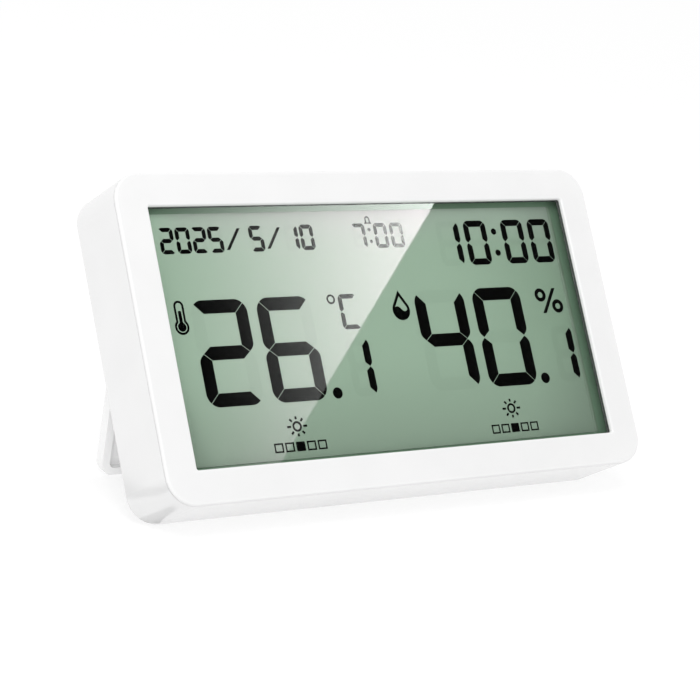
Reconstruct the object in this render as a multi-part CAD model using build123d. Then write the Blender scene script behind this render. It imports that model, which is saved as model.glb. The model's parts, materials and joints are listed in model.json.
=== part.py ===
from build123d import *
from math import asin, atan2, cos, degrees, hypot, radians, sin, tan
import os

# Thermometer and hygrometer clock: a flat case with a large segment display in front
# and a wide stand that folds out of a recess in its back. Sizes are in millimetres.
#
# Every piece is drawn with the clock lying on its back: X runs to the right along the
# face, Y runs up the face, and Z points out of it, with the front face at Z = 0. A
# depth is a distance behind the front face, so it is a negative Z. At the end the
# whole clock is stood up, leaning back on its open stand and facing -Y.

# Case
case_width = 110.0
case_height = 62.0
case_depth = 16.0
corner_radius = 5.6
side_wall = 1.6
back_wall = 1.5
skirt_depth = 0.6
seam_gap = 0.15
front_round = 0.45
rear_round = 0.8
fit_gap = 0.1

# Window in the bezel, and the lens glued behind it
bezel_side = 6.45
bezel_top = 6.35
window_radius = 0.4
window_round = 0.45
window_slope_width = 0.1
window_slope_depth = 0.6
lip_thickness = 0.8
lens_overlap = 1.5
lens_thickness = 1.0
lens_gap = 0.15
tape_thickness = 0.15
tape_width = 1.1
plate_thickness = 2.0

# Tongue that the bezel plugs into the rear case with, and its snap beads
tongue_wall = 1.2
tongue_reach = 4.0
bead_radius = 0.4
bead_length = 12.0
bead_depth = 3.2
bead_margin = 19.0
bead_margin_side = 19.0

# Display: dust gasket, polariser, two glasses and reflector film in a moulded frame
gasket_thickness = 0.7
gasket_side_setback = 0.9
gasket_top_setback = 0.3
polariser_thickness = 0.2
polariser_side_margin = 1.15
polariser_top_margin = 0.8
glass_thickness = 0.9
reflector_thickness = 0.25
film_margin = 1.2
contact_ledge = 2.3
display_gap = 0.15
frame_gap = 0.3
frame_rim = 0.9
frame_plate_share = 0.36

# Rubber connector between the display's ledge and the board
connector_thickness = 1.8
connector_margin = 6.75
connector_gap = 0.1

# Circuit board and what is soldered on its back
board_thickness = 1.0
board_part_room = 2.3
board_gap = 0.8
board_radius = 3.0
blob_radius = 5.0
blob_height = 1.2
crystal_radius = 1.0
crystal_length = 6.0
capacitor_size = (2.0, 1.25, 1.1)
resistor_size = (1.6, 0.8, 0.5)
chip_pitch = 3.2
sensor_side = 3.0
sensor_height = 1.1

# Screws: four through the recess floor, six through the board
case_screw_radius = 0.85
case_screw_inset = 5.2
case_screw_drop = 6.5
case_screw_rise = 4.6
board_screw_radius = 0.7
board_screw_inset = 6.5
board_screw_drop = 9.5
board_screw_mid_drop = 11.5
screw_gap = 0.05
screw_tip_gap = 0.4
post_wall = 1.5
post_gap = 0.3
head_share = 2.1
head_thickness = 1.1
head_seat = 0.4
cross_width = 0.5
cross_depth = 0.5

# Stand, hinged on two moulded trunnions near its upper edge
stand_side_margin = 8.8
stand_foot_margin = 7.0
hinge_drop = 11.1
stand_thickness = 2.8
stand_rim = 1.6
stand_skin = 1.0
stand_corner = 2.8
stand_edge_round = 0.5
stand_bar = 4.0
stand_gap = 0.4
stand_open_angle = 35.5
trunnion_radius = 0.95
trunnion_length = 1.8
trunnion_gap = 0.06
heel_gap = 0.05
heel_length = 14.0

# Recess for the stand in the back of the case
recess_depth = 3.1
recess_floor = 1.4
recess_lining = 1.4
finger_notch_radius = 12.0
finger_notch_drop = 3.6
hinge_boss_width = 3.6
hinge_boss_height = 5.2

# Coin cell, its well and the bayonet door over it
cell_radius = 10.0
cell_height = 3.2
cell_lid_radius = 8.6
cell_lid_height = 0.3
cell_gap = 0.3
cell_x_share = -0.38
cell_y_share = -0.05
well_wall = 1.1
well_floor = 0.6
well_gap = 0.8
door_flange = 0.95
door_flange_radius = 12.6
door_skirt = 0.6
door_gap = 0.15
door_axial_gap = 0.1
lug_thickness = 0.65
lug_reach = 1.05
ledge_thickness = 0.6
lug_count = 3
lug_angle = 30.0
notch_angle = 36.0
door_turn = 48.0
coin_slot_length = 14.0
coin_slot_width = 1.8
coin_slot_depth = 0.55

# Sheet contacts of the cell and of the buzzer
contact_thickness = 0.2
contact_width = 4.0
contact_slot_gap = 0.3
contact_spring = 0.35
contact_foot = 2.4

# Buzzer: a ceramic layer on a brass disc, glued to a ring inside the recess floor
buzzer_x_share = 0.4
buzzer_y_share = -0.1
buzzer_radius = 10.0
buzzer_ceramic_radius = 7.0
buzzer_layer = 0.2
buzzer_ring_wall = 1.2
buzzer_ring_height = 0.5
buzzer_contact_width = 1.6
sound_hole_radius = 0.7
sound_hole_circle = 3.2
sound_hole_count = 6

# Buttons in the band above the stand, each over a small push switch
button_names = ("mode", "up", "down", "unit")
button_margin = 21.0
button_vent_gap = 11.0
button_length = 8.0
button_height = 3.4
button_proud = 0.6
button_round = 0.3
button_gap = 0.15
button_flange = 0.8
button_flange_thickness = 1.0
button_flange_gap = 0.05
button_travel = 0.3
switch_length = 6.0
switch_width = 3.5
switch_height = 2.0
plunger_radius = 0.8
plunger_proud = 0.7
plunger_gap = 0.06
plunger_depth = 1.1

# Slots that let room air reach the sensor
vent_margin = 18.0
vent_count = 6
vent_pitch = 2.2
vent_width = 1.0
vent_height = 4.6

# Places worked out from the sizes above, all as depths behind the front face
half_width = case_width / 2
half_height = case_height / 2
hinge_height = half_height - hinge_drop
stand_width = case_width - 2 * stand_side_margin
stand_length = half_height + hinge_height - stand_foot_margin
window_width = case_width - 2 * bezel_side
window_height = case_height - 2 * bezel_top
foot_width = window_width - 2 * window_slope_width
foot_height = window_height - 2 * window_slope_width
lens_width = foot_width + 2 * lens_overlap
lens_height = foot_height + 2 * lens_overlap
tongue_inset = side_wall + fit_gap
tongue_end = skirt_depth + tongue_reach
case_front = skirt_depth + seam_gap
lens_front = lip_thickness + tape_thickness
lens_back = lens_front + lens_thickness
polariser_front = lens_back + gasket_thickness
glass_front = polariser_front + polariser_thickness
glass_middle = glass_front + glass_thickness
glass_back = glass_middle + glass_thickness
reflector_back = glass_back + reflector_thickness
back_inside = case_depth - back_wall
floor_outside = case_depth - recess_depth
floor_inside = floor_outside - recess_floor
board_back = floor_inside - board_part_room
board_front = board_back - board_thickness
frame_back = reflector_back + frame_plate_share * (board_front - reflector_back)
display_inset = tongue_inset + tongue_wall + frame_gap + frame_rim + display_gap
glass_width = case_width - 2 * display_inset
glass_height = case_height - 2 * display_inset
connector_length = glass_width - 2 * connector_margin
case_screw_x = stand_width / 2 - case_screw_inset
case_screw_y = hinge_height - case_screw_drop
case_screw_low_y = stand_length - hinge_height - case_screw_rise
case_screw_tip = frame_back + screw_tip_gap
board_screw_x = half_width - board_screw_inset
board_screw_y = half_height - board_screw_drop
board_screw_mid_y = half_height - board_screw_mid_drop
cell_x = half_width * cell_x_share
cell_y = half_height * cell_y_share
buzzer_x = half_width * buzzer_x_share
buzzer_y = half_height * buzzer_y_share

# The stand swings about a line half way through its thickness
hinge_depth = case_depth - stand_thickness / 2
stand_inside = case_depth - stand_thickness
hinge_to_floor = hinge_depth - floor_outside - heel_gap
swing = radians(stand_open_angle)
heel_rise = (hinge_to_floor - stand_thickness / 2 * cos(swing)) / sin(swing)
recess_top = hinge_height + hypot(heel_rise, stand_thickness / 2) + stand_gap / 2
recess_bottom = hinge_height - stand_length - stand_gap

# The door's flange lies flush with the recess floor, the cell just under it
door_seat = floor_outside - door_flange
cell_back = door_seat - door_axial_gap
cell_front = cell_back - cell_height
well_inside = cell_front - contact_spring
well_front = well_inside - well_floor
skirt_inside = cell_radius + cell_gap
skirt_outside = skirt_inside + door_skirt
lug_radius = skirt_outside + lug_reach
ledge_inside = door_seat - door_axial_gap / 2 - ledge_thickness
lug_back = ledge_inside - door_axial_gap
lug_front = lug_back - lug_thickness
lug_room = lug_radius + door_gap
well_radius = lug_room + well_wall

# The buttons' row lies midway between the recess lining and the top wall, with the
# vent slots at its far end
button_row = (recess_top + recess_lining + half_height - side_wall) / 2
button_first_x = button_margin - half_width
vent_x = half_width - vent_margin
button_pitch = (vent_x - button_first_x - button_vent_gap) / len(button_names)
flange_back = back_inside - button_flange_gap
flange_front = flange_back - button_flange_thickness
switch_back = board_back + switch_height
plunger_back = switch_back + plunger_proud

# Lean of the case: the table touches the rounded lower rear edge and the stand's foot
edge_depth = case_depth - rear_round
edge_height = rear_round - half_height
foot_reach = stand_thickness / 2
foot_depth = hinge_depth + stand_length * sin(swing) - foot_reach * cos(swing)
foot_height_up = hinge_height - stand_length * cos(swing) - foot_reach * sin(swing)
foot_span = hypot(foot_depth - edge_depth, foot_height_up - edge_height)
foot_slope = atan2(foot_height_up - edge_height, foot_depth - edge_depth)
lean = foot_slope + asin(rear_round / foot_span)
foot_cut = stand_thickness * tan(swing - lean)


def plate(width, height, radius):
    """Face-on outline with rounded corners."""
    return RectangleRounded(width, height, radius)


def slab(profile, near, far):
    """Fill a face-on outline from one depth to a larger one."""
    return Pos(0, 0, -far) * extrude(profile, far - near)


def inset_plate(inset):
    """The case's own outline, drawn in by an inset."""
    return plate(case_width - 2 * inset, case_height - 2 * inset, corner_radius - inset)


def disc(x, y, radius):
    """Round outline at a place on the face."""
    return Pos(x, y) * Circle(radius)


def block(x, y, length, height, near, far):
    """Rectangular block centred on a place, between two depths."""
    return slab(Pos(x, y) * Rectangle(length, height), near, far)


def sheet(points, thickness, width):
    """Bent metal strip: a side view in (distance, depth), as wide as told."""
    path = Polyline([(along, -depth) for along, depth in points])
    strip = extrude(Plane.XZ * trace(path, thickness), width)
    return Pos(0, width / 2, 0) * strip


def case_screw_places():
    return [(side * case_screw_x, y) for side in (-1, 1) for y in (case_screw_y, -case_screw_low_y)]


def board_screw_places():
    corners = [(side * board_screw_x, y) for side in (-1, 1) for y in (board_screw_y, -board_screw_y)]
    return corners + [(0, board_screw_mid_y), (0, -board_screw_mid_y)]


def button_x(index):
    return button_first_x + index * button_pitch


def snap_beads(radius):
    """Half-round beads along the tongue, or the grooves that take them."""
    y = half_height - tongue_inset
    x = half_width - tongue_inset
    beads = []
    for column in (-1, 0, 1):
        for side in (-1, 1):
            place = Pos(column * (half_width - bead_margin), side * y, -bead_depth)
            beads.append(place * Rot(0, 90, 0) * Cylinder(radius, bead_length))
    for row in (-1, 1):
        for side in (-1, 1):
            place = Pos(side * x, row * (half_height - bead_margin_side), -bead_depth)
            beads.append(place * Rot(90, 0, 0) * Cylinder(radius, bead_length))
    return beads


def front_bezel():
    skirt = slab(inset_plate(0), 0, skirt_depth)
    skirt = fillet(skirt.faces().sort_by(Axis.Z)[-1].edges(), front_round)
    tongue = slab(inset_plate(tongue_inset), skirt_depth, tongue_end)
    bezel = skirt + tongue
    for bead in snap_beads(bead_radius):
        bezel += bead
    bezel -= slab(inset_plate(tongue_inset + tongue_wall), plate_thickness, tongue_end)
    pocket = plate(lens_width + 2 * lens_gap, lens_height + 2 * lens_gap, window_radius + lens_gap)
    bezel -= slab(pocket, lip_thickness, plate_thickness)
    mouth = plate(window_width, window_height, window_radius)
    foot = plate(foot_width, foot_height, window_radius)
    bezel -= loft([mouth, Pos(0, 0, -window_slope_depth) * foot])
    bezel -= slab(foot, window_slope_depth, lip_thickness)
    front = bezel.faces().sort_by(Axis.Z)[-1]
    return fillet(front.inner_wires()[0].edges(), window_round)


def lens_tape():
    inner = plate(lens_width - 2 * tape_width, lens_height - 2 * tape_width, window_radius)
    return slab(plate(lens_width, lens_height, window_radius) - inner, lip_thickness, lens_front)


def display_lens():
    lens = slab(plate(lens_width, lens_height, window_radius), lens_front, lens_back)
    return lens


def dust_gasket():
    inner_width = foot_width + 2 * gasket_side_setback
    inner_height = foot_height + 2 * gasket_top_setback
    outer = plate(lens_width, lens_height, window_radius)
    return slab(outer - plate(inner_width, inner_height, window_radius), lens_back, polariser_front)


def display_front_polariser():
    """Film over the viewing area; the sealed border of the glass shows beside it."""
    width = foot_width - 2 * polariser_side_margin
    height = foot_height - 2 * polariser_top_margin
    return slab(Rectangle(width, height), polariser_front, glass_front)


def display_front_glass():
    return slab(Rectangle(glass_width, glass_height), glass_front, glass_middle)


def display_rear_glass():
    outline = Pos(0, contact_ledge / 2) * Rectangle(glass_width, glass_height - contact_ledge)
    return slab(outline, glass_middle, glass_back)


def display_reflector():
    """Film behind the glass, clear of the contact ledge at the display's lower edge."""
    width = glass_width - 2 * film_margin
    height = glass_height - contact_ledge - 2 * film_margin
    outline = Pos(0, contact_ledge / 2) * Rectangle(width, height)
    return slab(outline, glass_back, reflector_back)


def connector_row():
    """Height on the face at which the connector meets the display's ledge."""
    return contact_ledge / 2 - glass_height / 2


def display_connector():
    return block(0, connector_row(), connector_length, connector_thickness, glass_middle, board_front)


def display_frame():
    frame = slab(inset_plate(tongue_inset + tongue_wall + frame_gap), glass_front, frame_back)
    pocket = Rectangle(glass_width + 2 * display_gap, glass_height + 2 * display_gap)
    frame -= slab(pocket, glass_front, reflector_back)
    guide_height = connector_thickness + 2 * (connector_gap + frame_rim)
    guide_length = connector_length + 2 * (connector_gap + frame_rim)
    frame += block(0, connector_row(), guide_length, guide_height, frame_back, board_front - connector_gap)
    slot_height = connector_thickness + 2 * connector_gap
    slot_length = connector_length + 2 * connector_gap
    frame -= block(0, connector_row(), slot_length, slot_height, reflector_back, board_front)
    for x, y in board_screw_places():
        radius = board_screw_radius + screw_gap
        frame += slab(disc(x, y, radius + post_wall), frame_back, board_front)
        frame -= slab(disc(x, y, radius), frame_back, board_front)
    for x, y in case_screw_places():
        radius = case_screw_radius + screw_gap
        frame += slab(disc(x, y, radius + post_wall), frame_back, floor_inside)
        frame -= slab(disc(x, y, radius), case_screw_tip - fit_gap, floor_inside)
    return frame - slab(disc(cell_x, cell_y, well_radius + well_gap), reflector_back, frame_back)


def circuit_board():
    width = case_width - 2 * (side_wall + board_gap)
    height = case_height - 2 * (side_wall + board_gap)
    outline = plate(width, height, board_radius)
    outline -= disc(cell_x, cell_y, well_radius + well_gap)
    for x, y in case_screw_places():
        outline -= disc(x, y, case_screw_radius + screw_gap + post_wall + post_gap)
    for x, y in board_screw_places():
        outline -= disc(x, y, board_screw_radius + screw_gap)
    return slab(outline, board_front, board_back)


def screw(x, y, radius, length, head_front):
    """Pan-head screw with a cross slot, its shank running into the case."""
    head_radius = radius * head_share
    shank = slab(disc(x, y, radius), head_front - length, head_front)
    head = slab(disc(x, y, head_radius), head_front, head_front + head_thickness)
    head = chamfer(head.faces().sort_by(Axis.Z)[0].edges(), head_thickness / 3)
    top = head_front + head_thickness
    for length_x, length_y in ((head_radius, cross_width), (cross_width, head_radius)):
        head -= block(x, y, length_x, length_y, top - cross_depth, top)
    return shank + head


def case_screws():
    seat = floor_outside - head_seat
    length = seat - case_screw_tip
    return [screw(x, y, case_screw_radius, length, seat) for x, y in case_screw_places()]


def board_screws():
    length = board_back - frame_back - fit_gap
    return [screw(x, y, board_screw_radius, length, board_back) for x, y in board_screw_places()]


def controller_blob():
    """Domed drop of epoxy over the bare controller chip."""
    x = (cell_x + buzzer_x) / 2
    y = board_screw_mid_y - 2 * blob_radius
    bulge = (blob_radius ** 2 + blob_height ** 2) / (2 * blob_height)
    ball = Pos(x, y, bulge - blob_height - board_back) * Sphere(bulge)
    return ball & slab(disc(x, y, blob_radius), board_back, board_back + blob_height)


def clock_crystal():
    """Quartz crystal in a small can, lying along the board."""
    x = (cell_x + buzzer_x) / 2 + blob_radius + crystal_length
    y = board_screw_mid_y - blob_radius
    can = Pos(x, y, -board_back - crystal_radius) * Rot(0, 90, 0) * Cylinder(crystal_radius, crystal_length)
    return can


def chip_row(size, count, y):
    """Row of small surface-mounted chips under the controller."""
    length, width, height = size
    start = (cell_x + buzzer_x) / 2 - (count - 1) / 2 * chip_pitch
    return [block(start + i * chip_pitch, y, width, length, board_back, board_back + height)
            for i in range(count)]


def chip_capacitors():
    return chip_row(capacitor_size, 3, -board_screw_mid_y / 2)


def chip_resistors():
    return chip_row(resistor_size, 4, -board_screw_mid_y / 2 + chip_pitch)


def humidity_sensor():
    """Sensor package with its small round port, behind the vent slots."""
    back = board_back + sensor_height
    body = block(vent_x, button_row, sensor_side, sensor_side, board_back, back)
    return body - slab(disc(vent_x, button_row, sensor_side / 5), back - sensor_height / 2, back)


def switch_bodies():
    bodies = []
    for index in range(len(button_names)):
        x = button_x(index)
        body = block(x, button_row, switch_length, switch_width, board_back, switch_back)
        hole = disc(x, button_row, plunger_radius + plunger_gap)
        depth = plunger_depth + button_travel + fit_gap
        bodies.append(body - slab(hole, switch_back - depth, switch_back))
    return bodies


def switch_plunger(index):
    hole = disc(button_x(index), button_row, plunger_radius)
    return slab(hole, switch_back - plunger_depth, plunger_back)


def button(index):
    """Cap that shows on the back, the flange that keeps it in, and its stem."""
    x = button_x(index)
    cap_outline = Pos(x, button_row) * plate(button_length, button_height, button_height / 3)
    cap = slab(cap_outline, flange_back, case_depth + button_proud)
    cap = fillet(cap.faces().sort_by(Axis.Z)[0].edges(), button_round)
    length = button_length + 2 * button_flange
    height = button_height + 2 * button_flange
    flange = block(x, button_row, length, height, flange_front, flange_back)
    stem = slab(disc(x, button_row, 2 * plunger_radius), plunger_back, flange_front)
    return cap + flange + stem


def coin_cell():
    """Cell can with its crimped edge and the smaller lid that faces the display."""
    can = slab(disc(cell_x, cell_y, cell_radius), cell_front + cell_lid_height, cell_back)
    can = fillet(can.faces().sort_by(Axis.Z)[0].edges(), cell_lid_height)
    lid = slab(disc(cell_x, cell_y, cell_lid_radius), cell_front, cell_front + cell_lid_height)
    return can + lid


def cell_contact_negative():
    """Spring leaf under the cell, led out through the well's wall to the board."""
    half = contact_thickness / 2
    gap = well_radius + well_gap / 2
    floor = well_inside + half
    leaf = sheet([(-cell_radius / 2, cell_front - half), (0, cell_front - half),
                  (cell_radius / 2, floor), (gap, floor), (gap, board_back + half),
                  (gap + contact_foot, board_back + half)], contact_thickness, contact_width)
    return Pos(cell_x, cell_y, 0) * Rot(0, 0, -90) * leaf


def cell_contact_positive():
    """Leaf that bears on the cell's rim and steps over the well's wall to the board."""
    half = contact_thickness / 2
    rim = cell_radius + half
    top = lug_front - 2 * half
    gap = well_radius + well_gap + 2 * half
    leaf = sheet([(rim, cell_front + 2 * cell_lid_height), (rim, top), (gap, top),
                  (gap, board_back + half), (gap + contact_foot, board_back + half)],
                 contact_thickness, contact_width)
    return Pos(cell_x, cell_y, 0) * Rot(0, 0, 90) * leaf


def lugs(inner, outer, angle, near, far, turn):
    """Ring pieces spread evenly round the cell's axis."""
    ring = []
    for index in range(lug_count):
        middle = index * 360 / lug_count + turn
        wedge = Polyline([(0, 0), (2 * outer * cos(radians(middle - angle / 2)),
                                   2 * outer * sin(radians(middle - angle / 2))),
                          (2 * outer * cos(radians(middle + angle / 2)),
                           2 * outer * sin(radians(middle + angle / 2))), (0, 0)])
        outline = (Circle(outer) - Circle(inner)) & make_face(wedge)
        ring.append(slab(Pos(cell_x, cell_y) * outline, near, far))
    return ring


def battery_door():
    door = slab(disc(cell_x, cell_y, door_flange_radius), door_seat, floor_outside)
    skirt = disc(cell_x, cell_y, skirt_outside) - disc(cell_x, cell_y, skirt_inside)
    door += slab(skirt, lug_front, door_seat)
    for lug in lugs(skirt_outside - door_skirt / 2, lug_radius, lug_angle, lug_front, lug_back, 0):
        door += lug
    slot = Pos(cell_x, cell_y) * SlotOverall(coin_slot_length, coin_slot_width)
    return door - slab(slot, floor_outside - coin_slot_depth, floor_outside)


def buzzer_layers():
    """Depths of the disc's and the ceramic's front and back."""
    disc_back = floor_inside - buzzer_ring_height
    disc_front = disc_back - buzzer_layer
    return disc_front - buzzer_layer, disc_front, disc_back


def buzzer_disc():
    ceramic_front, disc_front, disc_back = buzzer_layers()
    return slab(disc(buzzer_x, buzzer_y, buzzer_radius), disc_front, disc_back)


def buzzer_ceramic():
    ceramic_front, disc_front, disc_back = buzzer_layers()
    return slab(disc(buzzer_x, buzzer_y, buzzer_ceramic_radius), ceramic_front, disc_front)


def buzzer_contacts():
    """Two leaves from the board, one on the ceramic and one on the brass rim."""
    ceramic_front, disc_front, disc_back = buzzer_layers()
    half = contact_thickness / 2
    rim = buzzer_radius - buzzer_ring_wall / 2
    leaves = []
    for tip, step, touch in ((0, -contact_foot, ceramic_front), (rim, contact_foot, disc_front)):
        path = [(tip + 2 * step, board_back + half), (tip + step, board_back + half),
                (tip + step / 2, touch - half), (tip, touch - half)]
        leaf = sheet(path, contact_thickness, buzzer_contact_width)
        leaves.append(Pos(buzzer_x, buzzer_y, 0) * leaf)
    return leaves


def recess_outline(grow):
    """The stand's outline with its gap, and the finger notch below it."""
    width = stand_width + 2 * (stand_gap + grow)
    height = recess_top - recess_bottom + 2 * grow
    middle = (recess_top + recess_bottom) / 2
    pocket = Pos(0, middle) * plate(width, height, stand_corner + grow)
    upper = Pos(0, middle + height / 4) * Rectangle(width, height / 2)
    notch_middle = recess_bottom - finger_notch_drop + finger_notch_radius
    return pocket + upper + disc(0, notch_middle, finger_notch_radius + grow)


def cell_well():
    """Cup for the cell, hanging from the recess floor towards the display."""
    cup = slab(disc(cell_x, cell_y, well_radius), well_front, floor_inside)
    cup -= slab(disc(cell_x, cell_y, cell_radius + cell_gap), well_inside, lug_front)
    cup -= slab(disc(cell_x, cell_y, lug_room), lug_front - door_axial_gap, floor_inside)
    return cup


def door_opening():
    """Everything cut away for the door: its seat, the ledge's hole and the lug notches."""
    seat = disc(cell_x, cell_y, door_flange_radius + door_gap)
    cut = slab(seat, door_seat - door_axial_gap / 2, floor_outside)
    cut += slab(disc(cell_x, cell_y, skirt_outside + door_gap), ledge_inside, door_seat)
    for notch in lugs(cell_radius, lug_room, notch_angle, ledge_inside, door_seat, door_turn):
        cut += notch
    return cut


def contact_slots():
    """Gaps in the well's wall where the two cell contacts leave it."""
    width = contact_width + 2 * contact_slot_gap
    reach = well_radius + well_gap - cell_radius
    middle = cell_radius + reach / 2
    low = block(cell_x, cell_y - middle, width, reach, well_inside, lug_front)
    high = block(cell_x, cell_y + middle, width, reach, well_inside, lug_front)
    return low + high


def hinge_bosses():
    """Blocks beside the recess that carry the stand's trunnions."""
    x = stand_width / 2 + stand_gap + hinge_boss_width / 2
    return [block(side * x, hinge_height, hinge_boss_width, hinge_boss_height,
                  floor_inside, back_inside) for side in (-1, 1)]


def hinge_bores():
    """Blind bores for the trunnions, open towards the recess."""
    reach = stand_width / 2 + trunnion_length + stand_gap
    length = trunnion_length + stand_gap
    bores = []
    for side in (-1, 1):
        place = Pos(side * (reach - length / 2), hinge_height, -hinge_depth)
        bores.append(place * Rot(0, 90, 0) * Cylinder(trunnion_radius + trunnion_gap, length))
    return bores


def rear_case():
    shell = slab(inset_plate(0), case_front, case_depth)
    shell = fillet(shell.faces().sort_by(Axis.Z)[0].edges(), rear_round)
    shell -= slab(inset_plate(side_wall), case_front, back_inside)
    lining = slab(recess_outline(recess_lining), floor_inside, back_inside)
    shell += lining & slab(inset_plate(0), case_front, case_depth - rear_round)
    for boss in hinge_bosses():
        shell += boss
    shell -= slab(recess_outline(0), floor_outside, case_depth)
    shell += cell_well()
    ring = disc(buzzer_x, buzzer_y, buzzer_radius)
    ring -= disc(buzzer_x, buzzer_y, buzzer_radius - buzzer_ring_wall)
    shell += slab(ring, floor_inside - buzzer_ring_height, floor_inside)
    shell -= door_opening()
    shell -= contact_slots()
    for bore in hinge_bores():
        shell -= bore
    for groove in snap_beads(bead_radius + fit_gap):
        shell -= groove
    for x, y in case_screw_places():
        shell -= slab(disc(x, y, case_screw_radius + screw_gap), floor_inside, floor_outside)
        head = disc(x, y, case_screw_radius * head_share + fit_gap)
        shell -= slab(head, floor_outside - head_seat, floor_outside)
    for index in range(len(button_names)):
        length = button_length + 2 * button_gap
        height = button_height + 2 * button_gap
        hole = Pos(button_x(index), button_row) * plate(length, height, button_height / 3)
        shell -= slab(hole, back_inside, case_depth)
    for index in range(vent_count):
        x = vent_x + (index - (vent_count - 1) / 2) * vent_pitch
        slot = Pos(x, button_row) * SlotOverall(vent_height, vent_width, 90)
        shell -= slab(slot, back_inside, case_depth)
    shell -= slab(disc(buzzer_x, buzzer_y, sound_hole_radius), floor_inside, floor_outside)
    for index in range(sound_hole_count):
        turn = radians(index * 360 / sound_hole_count)
        x = buzzer_x + sound_hole_circle * cos(turn)
        y = buzzer_y + sound_hole_circle * sin(turn)
        shell -= slab(disc(x, y, sound_hole_radius), floor_inside, floor_outside)
    return shell


def closed_stand():
    """The stand folded into its recess: a shallow tray, open towards the case."""
    length = stand_length + foot_cut
    outline = Pos(0, hinge_height - length / 2) * Rectangle(stand_width, length)
    tray = slab(outline, stand_inside, case_depth)
    low_corners = tray.edges().filter_by(Axis.Z).group_by(Axis.Y)[0]
    tray = fillet(low_corners, stand_corner)
    rear_edges = tray.faces().sort_by(Axis.Z)[0].edges().sort_by(Axis.Y)[:-1]
    tray = fillet(rear_edges, stand_edge_round)
    barrel = Pos(0, hinge_height, -hinge_depth) * Rot(0, 90, 0)
    tray += barrel * Cylinder(stand_thickness / 2, stand_width)
    for side in (-1, 1):
        x = side * (stand_width - heel_length) / 2
        y = hinge_height + heel_rise / 2
        tray += block(x, y, heel_length, heel_rise, stand_inside, hinge_depth)
    hollow_width = stand_width - 2 * stand_rim
    hollow_top = hinge_height - stand_bar
    hollow_length = hollow_top - (hinge_height - length) - stand_rim
    hollow = plate(hollow_width, hollow_length, stand_corner - stand_rim)
    hollow = Pos(0, hollow_top - hollow_length / 2) * hollow
    tray -= slab(hollow, stand_inside, case_depth - stand_skin)
    pins = barrel * Cylinder(trunnion_radius, stand_width + 2 * trunnion_length)
    return tray + pins


def hinge_line():
    return Axis((0, hinge_height, -hinge_depth), (1, 0, 0))


def table_block():
    """The space under the table, as the lying clock sees it."""
    span = case_width + case_height
    place = Pos(0, foot_height_up, -foot_depth) * Rot(degrees(lean), 0, 0)
    return place * Box(span, span, span, align=(Align.CENTER, Align.MAX, Align.CENTER))


def stand():
    opened = closed_stand().rotate(hinge_line(), stand_open_angle)
    return opened - table_block()


def lying_parts():
    """Every node by name, still lying on its back."""
    parts = {
        "front_bezel": front_bezel(),
        "lens_tape": lens_tape(),
        "display_lens": display_lens(),
        "dust_gasket": dust_gasket(),
        "display_front_polariser": display_front_polariser(),
        "display_front_glass": display_front_glass(),
        "display_rear_glass": display_rear_glass(),
        "display_reflector": display_reflector(),
        "display_connector": display_connector(),
        "display_frame": display_frame(),
        "circuit_board": circuit_board(),
        "controller_blob": controller_blob(),
        "clock_crystal": clock_crystal(),
        "chip_capacitors": chip_capacitors(),
        "chip_resistors": chip_resistors(),
        "humidity_sensor": humidity_sensor(),
        "switch_bodies": switch_bodies(),
        "board_screws": board_screws(),
        "buzzer_disc": buzzer_disc(),
        "buzzer_ceramic": buzzer_ceramic(),
        "buzzer_contacts": buzzer_contacts(),
        "coin_cell": coin_cell(),
        "cell_contact_negative": cell_contact_negative(),
        "cell_contact_positive": cell_contact_positive(),
        "battery_door": battery_door(),
        "rear_case": rear_case(),
        "case_screws": case_screws(),
        "stand": stand(),
    }
    for index, name in enumerate(button_names):
        parts[name + "_button"] = button(index)
        parts[name + "_switch_plunger"] = switch_plunger(index)
    return parts


def as_shape(piece):
    return Compound(children=piece) if isinstance(piece, list) else piece


def main():
    turned = Rot(90 - degrees(lean), 0, 0)
    parts = {name: turned * as_shape(piece) for name, piece in lying_parts().items()}
    boxes = [piece.bounding_box() for piece in parts.values()]
    box = boxes[0]
    for other in boxes[1:]:
        box = box.add(other)
    rest = Pos(-box.center().X, -box.center().Y, -box.min.Z)
    os.makedirs("parts", exist_ok=True)
    for name, piece in parts.items():
        export_step(rest * piece, os.path.join("parts", name + ".step"))
    places = {
        "stand_hinge": (0, hinge_height, -hinge_depth),
        "battery_door": (cell_x, cell_y, -floor_outside),
        "case_underside": (0, -half_height, -case_depth / 2),
        "case_back": (cell_x, (recess_bottom - half_height) / 2, -case_depth),
        "stand_foot": (0, foot_height_up, -foot_depth),
        "face_middle": (0, 0, 0),
    }
    print("lean in degrees", round(degrees(lean), 4))
    for name, place in places.items():
        spot = (rest * turned * Pos(*place)).position
        print("place", name, round(spot.X, 4), round(spot.Y, 4), round(spot.Z, 4))


main()
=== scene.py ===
import json
from math import cos, radians, sin
import bmesh
import bpy
from mathutils import Matrix, Vector


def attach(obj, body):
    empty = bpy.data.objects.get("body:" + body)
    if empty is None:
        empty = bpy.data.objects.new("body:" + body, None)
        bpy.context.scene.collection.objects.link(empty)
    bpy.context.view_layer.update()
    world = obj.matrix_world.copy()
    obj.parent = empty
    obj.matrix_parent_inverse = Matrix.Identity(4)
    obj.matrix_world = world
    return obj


# Thermometer and hygrometer clock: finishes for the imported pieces, what the display
# shows, and the studio round the clock. Places on the face are in millimetres from the
# middle of the front face, with X to the right, Y up the face and Z out of it.

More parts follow.
